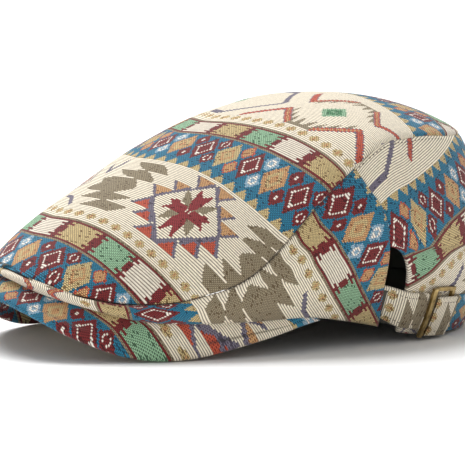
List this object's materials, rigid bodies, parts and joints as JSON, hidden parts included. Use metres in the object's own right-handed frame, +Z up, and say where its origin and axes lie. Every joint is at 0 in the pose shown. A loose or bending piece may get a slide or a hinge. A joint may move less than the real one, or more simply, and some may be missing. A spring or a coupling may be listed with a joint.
{
  "type": "flat cap",
  "caption": "Flat cap in kilim-patterned jacquard cloth, with a sloping crown, a short arched peak and an adjusting strap with a brass slide over an arched opening.",
  "frame": {"origin": "on the ground under the middle of the cap's bounding box", "axes": "+Z up, -Y towards the peak, +X towards the wearer's left, where the strap is"},
  "size_m": [0.1888, 0.285, 0.123],
  "materials": {
    "kilim_cloth": "jacquard weave, matt, many-coloured kilim pattern on ribbed cream ground",
    "strap_cloth": "same jacquard cloth folded double, matt, topstitched edges",
    "brass": "aged brass, satin"
  },
  "bodies": {
    "root": {"top_panel": "kilim_cloth", "side_panel": "kilim_cloth", "back_panel": "kilim_cloth", "peak": "kilim_cloth", "strap": "strap_cloth", "strap_tab": "strap_cloth", "slide_buckle": "brass"}
  },
  "joints": []
}
